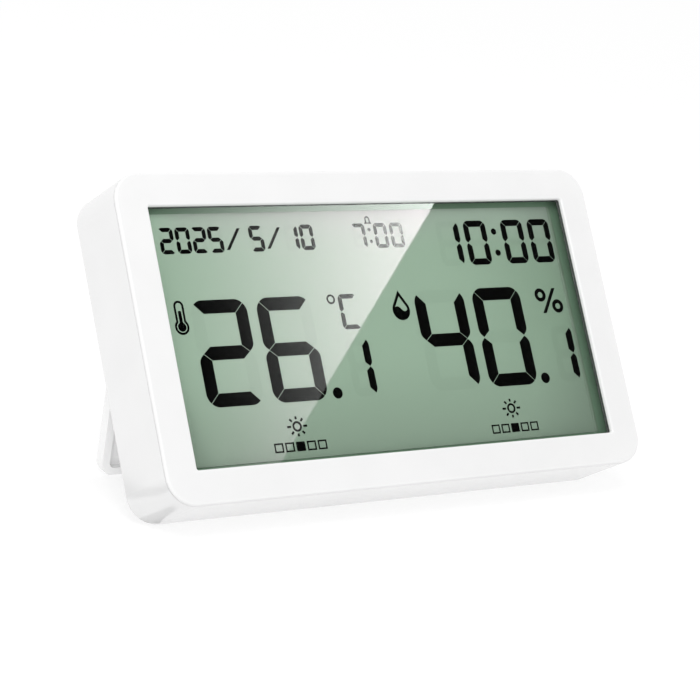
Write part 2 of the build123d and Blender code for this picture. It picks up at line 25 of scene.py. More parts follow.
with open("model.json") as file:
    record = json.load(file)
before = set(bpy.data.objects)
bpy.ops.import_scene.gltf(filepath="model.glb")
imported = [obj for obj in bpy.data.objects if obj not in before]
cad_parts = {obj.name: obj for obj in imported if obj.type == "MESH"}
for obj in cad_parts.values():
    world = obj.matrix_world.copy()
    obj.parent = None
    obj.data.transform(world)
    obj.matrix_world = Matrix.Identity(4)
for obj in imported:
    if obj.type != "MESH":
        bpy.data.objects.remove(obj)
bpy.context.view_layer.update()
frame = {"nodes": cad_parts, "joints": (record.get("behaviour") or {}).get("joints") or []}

MM = 0.001


def joint(name):
    """Joint of the frame by its name."""
    return next(made for made in frame["joints"] if made["name"] == name)


right = Vector((1, 0, 0))
out = Vector(joint("battery_door_turn")["axis"]).normalized()
up = out.cross(right)


def face_extent(node):
    """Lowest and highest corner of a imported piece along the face's own axes, in metres."""
    spots = [vertex.co for vertex in frame["nodes"][node].data.vertices]
    places = [(spot.dot(right), spot.dot(up), spot.dot(out)) for spot in spots]
    return Vector(map(min, zip(*places))), Vector(map(max, zip(*places)))


bezel_low, bezel_high = face_extent("front_bezel")
face_axes = Matrix((right, up, out)).transposed()
face_middle = (bezel_low + bezel_high) / 2
face_middle.z = bezel_high.z
face_origin = face_axes @ face_middle
face_place = Matrix.Translation(face_origin) @ face_axes.to_4x4() @ Matrix.Scale(MM, 4)
film_high = face_extent("display_front_polariser")[1] - face_middle
film_front = film_high.z / MM
film_edge = film_high.x / MM


def place_on_face(x, y, z):
    """Point in the row frame, in metres, of a place on the face in millimetres."""
    return face_place @ Vector((x, y, z))


# Gloss of the plastics, of the display's film and of what is printed on it
plain_ior = 1.5
case_ior = 1.64
film_ior = 1.8
ink_ior = 1.45
gloss_roughness = 0.018

# How light an unlit segment is beside the bare film
ghost_share = 0.95

# Colours are written as screen values from 0 to 255, and shaders take levels of light
screen_top = 255
dark_limit, dark_slope = 0.04045, 12.92
curve_lift, curve_power = 0.055, 2.4


def light_level(value):
    """Level of light that a screen value stands for."""
    step = value / screen_top
    if step < dark_limit:
        return step / dark_slope
    return ((step + curve_lift) / (1 + curve_lift)) ** curve_power


def colour(red, green, blue):
    """Opaque colour from its screen values."""
    return [light_level(value) for value in (red, green, blue)] + [1]


def add(tree, kind, **settings):
    """New shader node of a kind, with its settings."""
    made = tree.nodes.new(kind)
    for name, value in settings.items():
        setattr(made, name, value)
    return made


def set_inputs(node, **values):
    """Set a node's inputs, named in lower case with underscores for spaces."""
    sockets = [socket for socket in node.inputs if socket.enabled]
    named = {socket.name.lower().replace(" ", "_"): socket for socket in sockets}
    for name, value in values.items():
        named[name].default_value = value
    return node


def grain_group():
    """Fine moulded relief and a broad, faint cloud, both from one set of coordinates."""
    group = bpy.data.node_groups.new("surface_grain", "ShaderNodeTree")
    face = group.interface
    face.new_socket("Vector", in_out="INPUT", socket_type="NodeSocketVector")
    face.new_socket("Grain Scale", in_out="INPUT", socket_type="NodeSocketFloat")
    face.new_socket("Cloud Scale", in_out="INPUT", socket_type="NodeSocketFloat")
    face.new_socket("Relief", in_out="OUTPUT", socket_type="NodeSocketFloat")
    face.new_socket("Cloud", in_out="OUTPUT", socket_type="NodeSocketFloat")
    entry = add(group, "NodeGroupInput")
    exit_node = add(group, "NodeGroupOutput")
    grain = set_inputs(add(group, "ShaderNodeTexNoise"), detail=3.0, roughness=0.6)
    cloud = set_inputs(add(group, "ShaderNodeTexNoise"), detail=2.0, roughness=0.5)
    for texture, scale, result in (
        (grain, "Grain Scale", "Relief"), (cloud, "Cloud Scale", "Cloud"),
    ):
        group.links.new(entry.outputs["Vector"], texture.inputs["Vector"])
        group.links.new(entry.outputs[scale], texture.inputs["Scale"])
        group.links.new(texture.outputs["Fac"], exit_node.inputs[result])
    return group


surface_grain = grain_group()


def empty_material(name):
    """Material with nothing but its output; returns the material, its tree and the output."""
    material = bpy.data.materials.new(name)
    material.use_nodes = True
    tree = material.node_tree
    tree.nodes.clear()
    return material, tree, add(tree, "ShaderNodeOutputMaterial")


def start_material(name):
    """Material with its shader; returns the material, its tree and the shader."""
    material, tree, output = empty_material(name)
    shader = add(tree, "ShaderNodeBsdfPrincipled")
    tree.links.new(shader.outputs["BSDF"], output.inputs["Surface"])
    return material, tree, shader


def face_coordinates(tree, stretch=(1, 1, 1)):
    """Object coordinates turned and moved into millimetres on the face."""
    source = add(tree, "ShaderNodeTexCoord")
    mapping = add(tree, "ShaderNodeMapping", vector_type="TEXTURE")
    mapping.inputs["Location"].default_value = face_origin
    mapping.inputs["Rotation"].default_value = face_axes.to_euler()
    mapping.inputs["Scale"].default_value = [MM * part for part in stretch]
    tree.links.new(source.outputs["Object"], mapping.inputs["Vector"])
    return mapping.outputs["Vector"]


def spread(tree, source, low, high, start=0.3, end=0.7, curve="LINEAR"):
    """Value that runs from low to high as the source runs from start to end."""
    ranged = add(tree, "ShaderNodeMapRange", interpolation_type=curve)
    set_inputs(ranged, from_min=start, from_max=end, to_min=low, to_max=high)
    tree.links.new(source, ranged.inputs["Value"])
    return ranged.outputs["Result"]


def blend(tree, factor, first, second):
    """Mix two colours, each a plain colour or a socket."""
    mixed = add(tree, "ShaderNodeMix", data_type="RGBA")
    tree.links.new(factor, mixed.inputs["Factor"])
    for name, value in (("A", first), ("B", second)):
        socket = next(s for s in mixed.inputs if s.name == name and s.type == "RGBA")
        if isinstance(value, bpy.types.NodeSocket):
            tree.links.new(value, socket)
        else:
            socket.default_value = value
    return next(s for s in mixed.outputs if s.type == "RGBA")


def surface_finish(name, pale, deep, rough, grain, relief, cloud,
                   metallic=0.0, stretch=(1, 1, 1), ior=plain_ior):
    """Finish with two close tones, uneven gloss and a fine relief; sizes are in millimetres."""
    material, tree, shader = start_material(name)
    pattern = add(tree, "ShaderNodeGroup", node_tree=surface_grain)
    set_inputs(pattern, grain_scale=1 / grain, cloud_scale=1 / cloud)
    tree.links.new(face_coordinates(tree, stretch), pattern.inputs["Vector"])
    tone = blend(tree, spread(tree, pattern.outputs["Cloud"], 0, 1), colour(*pale), colour(*deep))
    tree.links.new(tone, shader.inputs["Base Color"])
    tree.links.new(spread(tree, pattern.outputs["Relief"], *rough), shader.inputs["Roughness"])
    bump = set_inputs(add(tree, "ShaderNodeBump"), distance=relief * MM, strength=1.0)
    tree.links.new(pattern.outputs["Relief"], bump.inputs["Height"])
    tree.links.new(bump.outputs["Normal"], shader.inputs["Normal"])
    set_inputs(shader, metallic=metallic, ior=ior)
    return material


# Tone of the film, and the painted light and shade that grow over it: direction on the face,
# where each starts and is full along that direction, and its tone. They paint the film darker
# towards its right, its bottom and its lower and upper right corners, darker at its lower left
# edge and in a narrow band along its right edge, as shade falling on it in the window; lighter
# along its upper left edge as painted light; and greyer along its top rows
film_base = (170, 194, 174)
film_painted_shading = [
    ((1, 0), 12, 74, (122, 145, 125)),
    ((0, 1), -2, -24, (154, 174, 157)),
    ((1, -0.8), 42, 66, (136, 154, 139)),
    ((0, 1), 14, 26, (175, 191, 178)),
    ((1, 0.8), 50, 68, (150, 164, 153)),
    ((-1, 0.5), 51, 60, (180, 206, 185)),
    ((-1, -0.3), 48, 55, (141, 160, 144)),
    ((1, 0), film_edge - 1.1, film_edge - 0.8, (113, 134, 116)),
]
border_base = (130, 161, 136)
# Painted shade: the border grows darker towards the window's right edge
border_painted_shade = [((1, 0), film_edge - 1.5, film_edge + 1.5, (111, 138, 117))]


def painted_shading_finish(name, base, painted_shading, share=1.0):
    """Smooth glossy finish with painted light and shade that grow across the face, made darker by a
    share.
    """
    material, tree, shader = start_material(name)
    place = face_coordinates(tree)

    def scaled(values):
        *parts, alpha = colour(*values)
        return [part * share for part in parts] + [alpha]

    tone = scaled(base)
    for direction, start, end, shade in painted_shading:
        along = add(tree, "ShaderNodeVectorMath", operation="DOT_PRODUCT")
        along.inputs[1].default_value = (*direction, 0)
        tree.links.new(place, along.inputs[0])
        grown = spread(tree, along.outputs["Value"], 0, 1, start, end, "SMOOTHSTEP")
        tone = blend(tree, grown, tone, scaled(shade))
    tree.links.new(tone, shader.inputs["Base Color"])
    set_inputs(shader, roughness=gloss_roughness, ior=film_ior)
    return material


def mirror_finish(name, pale, deep, grain, cloud, ior):
    """Smooth glossy finish with a faint cloud of tone; sizes are in millimetres."""
    material, tree, shader = start_material(name)
    pattern = add(tree, "ShaderNodeGroup", node_tree=surface_grain)
    set_inputs(pattern, grain_scale=1 / grain, cloud_scale=1 / cloud)
    tree.links.new(face_coordinates(tree), pattern.inputs["Vector"])
    tone = blend(tree, spread(tree, pattern.outputs["Cloud"], 0, 1), colour(*pale), colour(*deep))
    tree.links.new(tone, shader.inputs["Base Color"])
    set_inputs(shader, roughness=gloss_roughness, ior=ior)
    return material


lens_tone = (254, 255, 254)


def clear_lens():
    """Clear sheet: see-through with a mirror-like skin on the side that a ray enters by."""
    material, tree, output = empty_material("clear_lens")
    through = set_inputs(add(tree, "ShaderNodeBsdfTransparent"), color=colour(*lens_tone))
    skin = set_inputs(add(tree, "ShaderNodeBsdfAnisotropic"), roughness=0.0)
    fresnel = set_inputs(add(tree, "ShaderNodeFresnel"), ior=film_ior)
    side = add(tree, "ShaderNodeNewGeometry")
    entering = add(tree, "ShaderNodeMath", operation="SUBTRACT")
    entering.inputs[0].default_value = 1
    tree.links.new(side.outputs["Backfacing"], entering.inputs[1])
    factor = add(tree, "ShaderNodeMath", operation="MULTIPLY")
    tree.links.new(fresnel.outputs["Fac"], factor.inputs[0])
    tree.links.new(entering.outputs["Value"], factor.inputs[1])
    mix = add(tree, "ShaderNodeMixShader")
    tree.links.new(factor.outputs["Value"], mix.inputs["Fac"])
    tree.links.new(through.outputs["BSDF"], mix.inputs[1])
    tree.links.new(skin.outputs["BSDF"], mix.inputs[2])
    tree.links.new(mix.outputs["Shader"], output.inputs["Surface"])
    return material


def dress(material, *nodes):
    """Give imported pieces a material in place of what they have."""
    for name in nodes:
        slots = frame["nodes"][name].data.materials
        slots.clear()
        slots.append(material)


# Finish of the case: two tones, roughness, and the sizes of grain, relief and cloud in
# millimetres; the ink, which is smooth, has no roughness or relief of its own
white_finish = ((246, 246, 246), (243, 243, 243), (0.16, 0.23), 0.18, 0.004, 12.0)
ink_finish = ((4, 4, 4), (7, 7, 7), 1.0, 10.0)

white = surface_finish("white_plastic", *white_finish, ior=case_ior)
dress(white, "front_bezel", "rear_case", "stand", "battery_door",
      "mode_button", "up_button", "down_button", "unit_button")
dress(clear_lens(), "display_lens")
# The film, its border and its unlit segments get the painted light and shade listed above
dress(painted_shading_finish("polariser_film", film_base, film_painted_shading), "display_front_polariser")
dress(painted_shading_finish("sealed_border", border_base, border_painted_shade),
      "display_front_glass", "display_rear_glass")
ink = mirror_finish("display_ink", *ink_finish, ink_ior)
ghost = painted_shading_finish("unlit_segments", film_base, film_painted_shading, ghost_share)

# Finishes that show only with the case open, and the pieces that have them
matt, satin, bright = (0.75, 0.92), (0.38, 0.52), (0.18, 0.3)
inner_finishes = {
    "gasket_foam": (((62, 74, 67), (52, 62, 56), matt, 0.25, 0.05), ["dust_gasket", "lens_tape"]),
    "silver_film": (((214, 216, 218), (196, 199, 202), bright, 1.5, 0.001), ["display_reflector"]),
    "zebra_rubber": (((196, 160, 166), (176, 139, 146), matt, 0.3, 0.02), ["display_connector"]),
    "frame_plastic": (((228, 229, 225), (216, 218, 213), satin, 0.3, 0.008), ["display_frame"]),
    "solder_mask": (((30, 96, 58), (22, 78, 46), satin, 0.6, 0.006), ["circuit_board"]),
    "black_epoxy": (((24, 23, 24), (15, 15, 16), bright, 0.8, 0.02), ["controller_blob"]),
    "chip_ceramic": (((176, 152, 118), (150, 128, 99), satin, 0.1, 0.004), ["chip_capacitors"]),
    "chip_film": (((34, 34, 38), (22, 22, 26), satin, 0.1, 0.004), ["chip_resistors"]),
    "sensor_body": (((52, 54, 58), (38, 40, 44), satin, 0.1, 0.004), ["humidity_sensor"]),
    "switch_plastic": (((44, 44, 46), (30, 30, 32), satin, 0.15, 0.006),
                       ["switch_bodies", "mode_switch_plunger", "up_switch_plunger",
                        "down_switch_plunger", "unit_switch_plunger"]),
    "buzzer_ceramic": (((226, 220, 204), (208, 200, 182), matt, 0.2, 0.006), ["buzzer_ceramic"]),
}
metal_finishes = {
    "crystal_can": (((206, 208, 210), (184, 186, 189), bright, 0.3, 0.002), ["clock_crystal"]),
    "screw_steel": (((190, 189, 184), (158, 157, 152), satin, 0.12, 0.004),
                    ["board_screws", "case_screws"]),
    "brass_sheet": (((212, 178, 104), (186, 150, 80), satin, 0.25, 0.003),
                    ["buzzer_disc", "buzzer_contacts"]),
    "cell_steel": (((204, 205, 206), (182, 183, 185), bright, 0.2, 0.003), ["coin_cell"]),
    "contact_steel": (((198, 196, 190), (172, 170, 164), bright, 0.2, 0.002),
                      ["cell_contact_negative", "cell_contact_positive"]),
}
inner_cloud = 6.0
rolled = (6, 1, 1)
for name, (values, nodes) in inner_finishes.items():
    dress(surface_finish(name, *values, inner_cloud), *nodes)
for name, (values, nodes) in metal_finishes.items():
    metal = surface_finish(name, *values, inner_cloud, metallic=1.0, stretch=rolled)
    dress(metal, *nodes)


# What the display shows, as thin printed-looking shapes on the film
ink_depth = 0.02
ghost_depth = 0.01
film_pieces = [frame["nodes"][name] for name in ("display_front_polariser", "display_front_glass")]
ink_pieces = []
circle_steps = 24
round_steps = 4


def finished_object(name, shape, material, place=Matrix()):
    """Object at the origin from a bmesh, with its one material and its place in its mesh."""
    mesh = bpy.data.meshes.new(name)
    shape.to_mesh(mesh)
    shape.free()
    mesh.transform(place)
    mesh.materials.append(material)
    made = bpy.data.objects.new(name, mesh)
    bpy.context.scene.collection.objects.link(made)
    return made


def face_piece(name, shape, material):
    """Make an object from a bmesh drawn on the face, seated on the film, riding on the case."""
    bmesh.ops.recalc_face_normals(shape, faces=shape.faces)
    seat = face_place @ Matrix.Translation((0, 0, film_front))
    piece = finished_object(name, shape, material, seat)
    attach(piece, "case")
    (ink_pieces if material == ink else film_pieces).append(piece)


def thicken(shape, faces, depth=ink_depth):
    """Raise flat faces into solids of the ink's depth."""
    raised = bmesh.ops.extrude_face_region(shape, geom=faces, use_keep_orig=True)
    corners = [part for part in raised["geom"] if isinstance(part, bmesh.types.BMVert)]
    bmesh.ops.translate(shape, verts=corners, vec=(0, 0, depth))


def outlined_face(shape, outline):
    """Flat face with straight sides, and its corners."""
    corners = [shape.verts.new((x, y, 0)) for x, y in outline]
    return shape.faces.new(corners), corners


def round_face(shape, x, y, radius):
    """Flat round face."""
    made = bmesh.ops.create_circle(
        shape, cap_ends=True, segments=circle_steps, radius=radius,
        matrix=Matrix.Translation((x, y, 0)))
    return made["verts"][0].link_faces[0]


def plate(shape, outline, rounds=(), depth=ink_depth):
    """Solid from a flat outline; rounds lists corner numbers and how far each is rounded."""
    earlier = set(shape.faces)
    corners = outlined_face(shape, outline)[1]
    for numbers, reach in rounds:
        rounded = [corners[number] for number in numbers]
        bmesh.ops.bevel(shape, geom=rounded, offset=reach, segments=round_steps, profile=0.5,
                        affect="VERTICES", material=-1)
    thicken(shape, [face for face in shape.faces if face not in earlier], depth)


def rim(shape, face, stroke):
    """Solid closed line of one width just inside a flat face, which it replaces."""
    face.normal_update()
    line = bmesh.ops.inset_region(shape, faces=[face], thickness=stroke,
                                  use_boundary=True, use_even_offset=True)
    bmesh.ops.delete(shape, geom=[face], context="FACES_ONLY")
    thicken(shape, line["faces"])


def band(shape, outline, stroke):
    """Closed line along a straight-sided outline."""
    rim(shape, outlined_face(shape, outline)[0], stroke)


def ring(shape, x, y, radius, stroke):
    """Closed line along a circle."""
    rim(shape, round_face(shape, x, y, radius), stroke)


def dot(shape, x, y, radius):
    """Filled round dot."""
    thicken(shape, [round_face(shape, x, y, radius)])


def arc(x, y, radius, start, end, steps):
    """Points along an arc, from one angle to another in degrees."""
    turns = [radians(start + (end - start) * step / steps) for step in range(steps + 1)]
    return [(x + radius * cos(turn), y + radius * sin(turn)) for turn in turns]


lit_segments = {
    "0": "abcdef", "1": "bc", "2": "abged", "4": "fgbc", "5": "afgcd", "6": "afgedc",
    "7": "abc", "C": "afed",
}

# Each segment is drawn once, at the left or the top, and mirrored across or along the digit
mirrors = {
    "a": (1, 1), "d": (1, -1), "f": (1, 1), "b": (-1, 1), "e": (1, -1), "c": (-1, -1),
    "g": (1, 1),
}

# Shares of a segment's stroke: gap between segments, tip of an upright one, its bend at the
# digit's corner, and how far that corner and the waist are rounded; no gap is under the least
# one, which is in millimetres
least_gap, gap_share = 0.055, 0.03
tip_share = 0.4
near_share = 1 - cos(radians(45))
knee_share = 0.586
corner_round, waist_round = 0.36, 0.28


def segment(letter, half_width, half_height, stroke):
    """Outline of one segment about the digit's middle, with its rounded corners."""
    w, h, s = half_width, half_height, stroke
    gap = max(gap_share * s, least_gap)
    near = s * near_share
    knee = s * knee_share
    if letter in "ad":
        left = [(-w + s + gap, h - s), (-w + near + gap, h - near), (-w + knee + gap, h)]
        outline = left + [(-x, y) for x, y in reversed(left)]
        rounds = [((2, 3), s * corner_round)]
    elif letter == "g":
        tip = (-w + tip_share * s + gap, 0)
        left = [(-w + s + gap, -s / 2), tip, (-w + s + gap, s / 2)]
        outline = left + [(-x, y) for x, y in reversed(left)]
        rounds = []
    else:
        outline = [
            (-w + s, h - s - gap), (-w + near, h - near - gap), (-w, h - knee - gap),
            (-w, s * corner_round + gap), (-w + tip_share * s, gap), (-w + s, s / 2 + gap),
        ]
        rounds = [((2,), s * corner_round), ((3,), s * waist_round)]
    across, along = mirrors[letter]
    return [(x * across, y * along) for x, y in outline], rounds


def digit(shape, sign, left, top, size, stroke):
    """One seven-segment sign, its cell given by its left and top edges; the unlit segments too."""
    width, height = size
    x, y = left + width / 2, top - height / 2
    for letter in mirrors:
        lit = letter in lit_segments[sign]
        outline, rounds = segment(letter, width / 2, height / 2, stroke)
        place = [(x + px, y + py) for px, py in outline]
        plate(shape if lit else unlit, place, rounds, ink_depth if lit else ghost_depth)


def digit_row(shape, texts, top, cell, stroke, step):
    """Digits side by side; texts lists each group of them with its left edge."""
    for text, left in texts:
        for index, sign in enumerate(text):
            digit(shape, sign, left + index * step, top, cell, stroke)


unlit = bmesh.new()

# Date, with a slash after the year and after the month
date_cell, date_stroke, date_step, date_top = (3.1, 5.07), 0.82, 3.49, 21.17
date_texts = (("2025", -45.95), ("5", -26.5), ("10", -18.65))
slash_middles, slash_foot, slash_top = (-30.1, -21.15), 16.6, 20.75
slash_lean, slash_half = 1.48, 0.35

shape = bmesh.new()
digit_row(shape, date_texts, date_top, date_cell, date_stroke, date_step)
for x in slash_middles:
    foot, head = x - slash_lean, x + slash_lean
    plate(shape, [(foot - slash_half, slash_foot), (foot + slash_half, slash_foot),
                  (head + slash_half, slash_top), (head - slash_half, slash_top)])
face_piece("display_date", shape, ink)

# Alarm time
alarm_stroke, alarm_step, alarm_top = 0.77, 3.8, 21.15
alarm_texts = (("7", -3.0), ("00", 2.15))
alarm_dots, alarm_dot_radius = ((1.09, 17.45), (1.09, 19.85)), 0.36

shape = bmesh.new()
digit_row(shape, alarm_texts, alarm_top, date_cell, alarm_stroke, alarm_step)
for x, y in alarm_dots:
    dot(shape, x, y, alarm_dot_radius)
face_piece("display_alarm", shape, ink)

# Time of day
time_cell, time_stroke, time_step, time_top = (5.57, 9.2), 1.31, 6.87, 21.17
time_texts = (("10", 17.17), ("0", 33.47), ("0", 40.35))
time_dots, time_dot_radius = ((31.5, 18.78), (31.5, 14.34)), 0.66

shape = bmesh.new()
digit_row(shape, time_texts, time_top, time_cell, time_stroke, time_step)
for x, y in time_dots:
    dot(shape, x, y, time_dot_radius)
face_piece("display_time", shape, ink)

# Temperature and humidity: whole number and its left edge, decimal point, left edge of the tenth
big_cell, big_stroke, big_step, big_top = (12.08, 20.2), 2.58, 14.2, 7.15
tenth_cell, tenth_stroke, tenth_top = (5.4, 11.45), 1.6, -1.48
point_height, point_radius = -11.95, 1.09
readings = {
    "display_temperature": ("26", -42.19, -13.72, -9.87),
    "display_humidity": ("40", 8.29, 36.6, 40.4),
}
for name, (text, left, point, tenth_left) in readings.items():
    shape = bmesh.new()
    digit_row(shape, [(text, left)], big_top, big_cell, big_stroke, big_step)
    dot(shape, point, point_height, point_radius)
    digit(shape, "1", tenth_left, tenth_top, tenth_cell, tenth_stroke)
    face_piece(name, shape, ink)

face_piece("unlit_segments", unlit, ghost)

# Degree ring and C
degree_middle, degree_radius, degree_stroke = (-11.06, 6.25), 0.97, 0.38
c_middle, c_half_width, c_half_height, c_stroke = (-7.32, 3.68), 2.13, 3.47, 0.9

shape = bmesh.new()
ring(shape, *degree_middle, degree_radius, degree_stroke)
for letter in lit_segments["C"]:
    outline, rounds = segment(letter, c_half_width, c_half_height, c_stroke)
    plate(shape, [(c_middle[0] + px, c_middle[1] + py) for px, py in outline], rounds)
face_piece("degree_sign", shape, ink)

# Percent sign
percent_middles, percent_radius, percent_stroke = ((39.86, 5.17), (43.8, 2.7)), 1.4, 0.78
percent_bar, percent_round = [(39.72, 1.37), (40.59, 1.37), (43.99, 6.5), (43.12, 6.5)], 0.1
all_corners = (0, 1, 2, 3)

shape = bmesh.new()
for x, y in percent_middles:
    ring(shape, x, y, percent_radius, percent_stroke)
plate(shape, percent_bar, [(all_corners, percent_round)])
face_piece("percent_sign", shape, ink)

# Thermometer: outline of its stem and bulb, and the column inside. A span is the start and the
# end of an arc in degrees, and its steps
stem_middle, stem_radius = (-44.55, 6.25), 1.05
bulb_middle, bulb_radius, bulb_fill = (-44.55, 2.31), 1.49, 0.88
stem_span, bulb_span, glass_stroke = (0, 180, 12), (134, 406, 22), 0.43
column_half, column_foot, column_top, column_round = 0.34, 2.9, 5.37, 0.24

shape = bmesh.new()
stem = arc(*stem_middle, stem_radius, *stem_span)
bulb = arc(*bulb_middle, bulb_radius, *bulb_span)
band(shape, stem + bulb, glass_stroke)
dot(shape, *bulb_middle, bulb_fill)
column_left, column_right = bulb_middle[0] - column_half, bulb_middle[0] + column_half
plate(shape, [(column_left, column_foot), (column_right, column_foot),
              (column_right, column_top), (column_left, column_top)], [((2, 3), column_round)])
face_piece("thermometer_sign", shape, ink)

# Drop, with water under a wave
drop_middle, drop_radius, drop_stroke = (4.81, 3.47), 2.04, 0.58
drop_span, drop_tip = (152, 388, 24), (4.81, 7.38)
water_span, water_inset = (172, 346, 18), 0.2
wave = [(6.3, 3.6), (6.0, 3.3), (5.6, 3.2), (5.2, 3.38),
        (4.75, 3.85), (4.35, 4.18), (3.9, 4.28), (3.45, 4.1)]

shape = bmesh.new()
band(shape, arc(*drop_middle, drop_radius, *drop_span) + [drop_tip], drop_stroke)
water = arc(*drop_middle, drop_radius - water_inset, *water_span)
plate(shape, water + wave)
face_piece("drop_sign", shape, ink)

# Bell
bell_dome, bell_radius, bell_span, bell_stroke = (1.09, 22.0), 0.6, (180, 0, 12), 0.3
bell_left = [(0.3, 21.02), (0.3, 21.2), (0.5, 21.45)]
bell_right = [(1.68, 21.45), (1.88, 21.2), (1.88, 21.02)]

shape = bmesh.new()
dome = arc(*bell_dome, bell_radius, *bell_span)
band(shape, bell_left + dome + bell_right, bell_stroke)
face_piece("alarm_sign", shape, ink)

# Suns: a ring and eight rays, whose reach differs with their direction
sun_middles, sun_radius, sun_stroke = ((-24.16, -17.67), (26.38, -17.53)), 1.02, 0.41
ray_turn, ray_start, ray_half, ray_round = 45, 1.33, 0.21, 0.08
ray_reach = {0: 2.2, 45: 2.02, 90: 1.9, 135: 2.02}

shape = bmesh.new()
for x, y in sun_middles:
    ring(shape, x, y, sun_radius, sun_stroke)
    for turn in range(0, 360, ray_turn):
        c, s = cos(radians(turn)), sin(radians(turn))
        tip = ray_reach[turn % 180]
        ray = [(ray_start, -ray_half), (tip, -ray_half), (tip, ray_half), (ray_start, ray_half)]
        turned = [(x + a * c - b * s, y + a * s + b * c) for a, b in ray]
        plate(shape, turned, [(all_corners, ray_round)])
face_piece("sun_signs", shape, ink)

# Level scales: a row of five bars, the middle one filled
bar_count, bar_step, bar_half = 5, 2.4, 0.98
bar_foot, bar_top = -22.35, -20.55
bar_stroke, bar_round = 0.3, 0.2

shape = bmesh.new()
for middle, _ in sun_middles:
    for index in range(bar_count):
        x = middle + (index - bar_count // 2) * bar_step
        outline = [(x - bar_half, bar_foot), (x + bar_half, bar_foot),
                   (x + bar_half, bar_top), (x - bar_half, bar_top)]
        if index == bar_count // 2:
            plate(shape, outline, [(all_corners, bar_round)])
        else:
            band(shape, outline, bar_stroke)
face_piece("level_bars", shape, ink)


def aimed(spot, aim):
    """Matrix that puts a camera or a lamp at one place and turns it towards another."""
    turn = (aim - spot).to_track_quat("-Z", "Y").to_matrix().to_4x4()
    return Matrix.Translation(spot) @ turn


# Camera as the photograph has it
camera_spot = (-263.75, -91.0, 352.6)
camera_aim = (-10.9, -4.48, 0)
camera_roll = 6.8
camera_lens = 121.42
camera_sensor = 36
camera_near = 0.01

camera_data = bpy.data.cameras.new("camera")
camera_data.lens = camera_lens
camera_data.sensor_width = camera_sensor
camera_data.clip_start = camera_near
camera = bpy.data.objects.new("camera", camera_data)
bpy.context.scene.collection.objects.link(camera)
bpy.context.scene.camera = camera
roll = Matrix.Rotation(radians(camera_roll), 4, "Z")
camera.matrix_world = aimed(place_on_face(*camera_spot), place_on_face(*camera_aim)) @ roll


def area_light(name, spot, aim, size, power):
    """Square lamp at one place, turned towards another."""
    data = bpy.data.lights.new(name, "AREA")
    data.size = size
    data.energy = power
    light = bpy.data.objects.new(name, data)
    bpy.context.scene.collection.objects.link(light)
    light.matrix_world = aimed(spot, aim)
    return light


def light_only(source, pieces):
    """Let a lamp or a card light nothing but some pieces."""
    receivers = bpy.data.collections.new(source.name + "_receivers")
    for piece in pieces:
        receivers.objects.link(piece)
    source.light_linking.receiver_collection = receivers


# Lamps: place, what they are aimed at, size in metres, power in watts
centre = place_on_face(0, 0, 0)
stand_side = place_on_face(-55, 0, -30)
lamps = {
    "key": (place_on_face(-250, 300, 560), centre, 0.3, 1.4),
    "left_fill": (Vector((-1.1, -0.35, 0.25)), centre, 0.8, 0.7),
    "stand_fill": (place_on_face(-280, -60, 340), stand_side, 0.1, 0.45),
}
made_lamps = {name: area_light(name, *values) for name, values in lamps.items()}
light_only(made_lamps["stand_fill"], [frame["nodes"]["stand"]])

# Strength of the surroundings and of the floor's glow, where they light and where they are seen;
# the floor's tone, the share of glow in it, and half its width in metres
world_lights, world_seen = 0.785, 1.0
floor_lights, floor_seen = 0.85, 1.14
floor_tone = (250, 250, 250)
floor_glow_share = 0.6
floor_half = 3.0


def seen_level(tree, plain, seen):
    """Strength of a glow: one value where it lights, another where it is seen or mirrored."""
    ray = add(tree, "ShaderNodeLightPath")
    share = ray.outputs["Is Camera Ray"]
    for name in ("Is Glossy Ray", "Is Transmission Ray"):
        either = add(tree, "ShaderNodeMath", operation="MAXIMUM")
        tree.links.new(share, either.inputs[0])
        tree.links.new(ray.outputs[name], either.inputs[1])
        share = either.outputs["Value"]
    return spread(tree, share, plain, seen, 0, 1)


world = bpy.data.worlds.new("studio")
bpy.context.scene.world = world
world.use_nodes = True
backdrop = world.node_tree.nodes["Background"]
backdrop.inputs["Color"].default_value = (1, 1, 1, 1)
world_strength = seen_level(world.node_tree, world_lights, world_seen)
world.node_tree.links.new(world_strength, backdrop.inputs["Strength"])


# Cards stand in front of the clock where the display mirrors them to the camera: lit ones, whose
# straight edge gives the diagonal of the reflection, and a dark one behind them. A lit card is
# clear to the pieces that it isn't meant for. Outlines are in millimetres on the film, where the
# camera sees them mirrored, and distances in millimetres from it.
card_distance = 250.0
card_step = 1.0
dark_card_step = 5.0
edge_top, edge_foot = (18.06, 24.8), (-29.06, -24.06)
card_left, card_low, card_high = -60, -32.0, 30.0
lens_low, lens_high, lens_shift = 23.13, 24.45, -0.96
dark_half_width, dark_half_height = 62, 34
film_glow = dict(start=-50.0, end=16.0, curve=1.42, strength=9.0, tint=(1.0, 0.8, 0.94, 1))
ink_glow = dict(start=-47.0, end=16.0, curve=2.8, strength=19.3, tint=(1, 1, 1, 1))
lens_glow = dict(start=-50.0, end=16.0, curve=1.42, strength=11.0, tint=(0.94, 1, 0.95, 1))


def mirrored(x, y, distance):
    """Place in front of the face that the camera sees mirrored at a point of the film."""
    step = (distance - film_front) / (camera_spot[2] - film_front)
    return x + (x - camera_spot[0]) * step, y + (y - camera_spot[1]) * step


def mirrored_only(made):
    """Hide a piece from everything but what mirrors it."""
    made.visible_camera = made.visible_diffuse = False
    made.visible_transmission = made.visible_shadow = False


def card(name, outline, distance, material):
    """Flat card in front of the face that the film mirrors in an outline on it."""
    shape = bmesh.new()
    corners = [(*mirrored(x, y, distance), distance) for x, y in outline]
    face = shape.faces.new([shape.verts.new(corner) for corner in corners])
    face.normal_update()
    if face.normal.z > 0:
        face.normal_flip()
    made = finished_object(name, shape, material, face_place)
    mirrored_only(made)
    return made


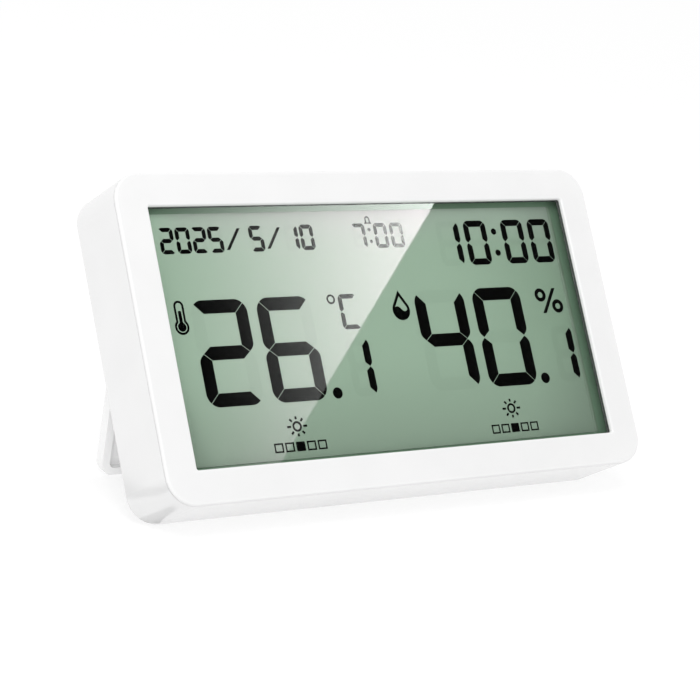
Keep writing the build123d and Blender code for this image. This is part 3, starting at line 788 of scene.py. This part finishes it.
def glow_material(name, start, end, curve, strength, tint):
    """Clear card whose glow grows from nothing at one place to its full strength at another."""
    material, tree, output = empty_material(name)
    parts = add(tree, "ShaderNodeSeparateXYZ")
    tree.links.new(face_coordinates(tree), parts.inputs["Vector"])
    ends = [mirrored(x, 0, card_distance)[0] for x in (start, end)]
    power = add(tree, "ShaderNodeMath", operation="POWER")
    power.inputs[1].default_value = curve
    tree.links.new(spread(tree, parts.outputs["X"], 0, 1, *ends), power.inputs[0])
    level = add(tree, "ShaderNodeMath", operation="MULTIPLY")
    level.inputs[1].default_value = strength
    tree.links.new(power.outputs["Value"], level.inputs[0])
    glow = set_inputs(add(tree, "ShaderNodeEmission"), color=tint)
    tree.links.new(level.outputs["Value"], glow.inputs["Strength"])
    clear = add(tree, "ShaderNodeBsdfTransparent")
    both = add(tree, "ShaderNodeAddShader")
    tree.links.new(glow.outputs["Emission"], both.inputs[0])
    tree.links.new(clear.outputs["BSDF"], both.inputs[1])
    tree.links.new(both.outputs["Shader"], output.inputs["Surface"])
    return material


def dark_card_material():
    """Matt black for the card behind the lit ones."""
    material, _, shader = start_material("dark_card")
    set_inputs(shader, base_color=(0, 0, 0, 1), roughness=1.0)
    return material


def edge_place(y, shift):
    """Point of the reflection's straight edge at a height on the film."""
    share = (y - edge_foot[1]) / (edge_top[1] - edge_foot[1])
    return edge_foot[0] + share * (edge_top[0] - edge_foot[0]) + shift, y


def lit_card(name, order, low, high, pieces, glow, shift=0.0):
    """Card that only some pieces mirror, between two heights on the film."""
    outline = [edge_place(high, shift), edge_place(low, shift), (card_left, low), (card_left, high)]
    distance = card_distance + order * card_step
    light_only(card(name, outline, distance, glow_material(name, **glow)), pieces)


lens_pieces = [frame["nodes"]["display_lens"]]
lit_card("film_card", 0, card_low, card_high, film_pieces, film_glow)
lit_card("ink_card", 1, card_low, card_high, ink_pieces, ink_glow)
lit_card("lens_card", 2, lens_low, lens_high, lens_pieces, lens_glow, lens_shift)
dark_outline = [(-dark_half_width, -dark_half_height), (dark_half_width, -dark_half_height),
                (dark_half_width, dark_half_height), (-dark_half_width, dark_half_height)]
card("dark_card", dark_outline, card_distance + dark_card_step, dark_card_material())


def pale_floor():
    """White floor that shows white where it is seen or mirrored, and keeps a soft shadow."""
    material, tree, output = empty_material("pale_floor")
    matt = set_inputs(add(tree, "ShaderNodeBsdfDiffuse"), color=colour(*floor_tone))
    glow = add(tree, "ShaderNodeEmission")
    tree.links.new(seen_level(tree, floor_lights, floor_seen), glow.inputs["Strength"])
    mix = add(tree, "ShaderNodeMixShader")
    mix.inputs["Fac"].default_value = floor_glow_share
    tree.links.new(matt.outputs["BSDF"], mix.inputs[1])
    tree.links.new(glow.outputs["Emission"], mix.inputs[2])
    tree.links.new(mix.outputs["Shader"], output.inputs["Surface"])
    return material


def shadow_flag_material(name, level):
    """Even grey that only a mirroring surface shows, standing in for shade on the floor."""
    material, tree, output = empty_material(name)
    glow = set_inputs(add(tree, "ShaderNodeEmission"), strength=level)
    tree.links.new(glow.outputs["Emission"], output.inputs["Surface"])
    return material


# Grey flags that lie on the floor behind the clock's lower left corner as painted shadow of the
# floor there, where its gloss mirrors them as soft dark bands: outline in millimetres on the
# floor, and how light each one is
flag_height = 0.0005
floor_shadow_flags = {
    "floor_flag_side": ([(-66.5, -12), (-60.5, -12), (-60.5, 26), (-66.5, 26)], 0.0),
    "floor_flag_under": ([(-53, -16), (-50.2, -16), (-48, 4), (-53.5, 4)], 0.2),
}
for name, (outline, level) in floor_shadow_flags.items():
    shape = bmesh.new()
    shape.faces.new([shape.verts.new((x * MM, y * MM, flag_height)) for x, y in outline])
    mirrored_only(finished_object(name, shape, shadow_flag_material(name, level)))

shape = bmesh.new()
bmesh.ops.create_grid(shape, x_segments=1, y_segments=1, size=floor_half)
floor = finished_object("floor", shape, pale_floor())

bpy.context.scene.view_settings.view_transform = "Standard"
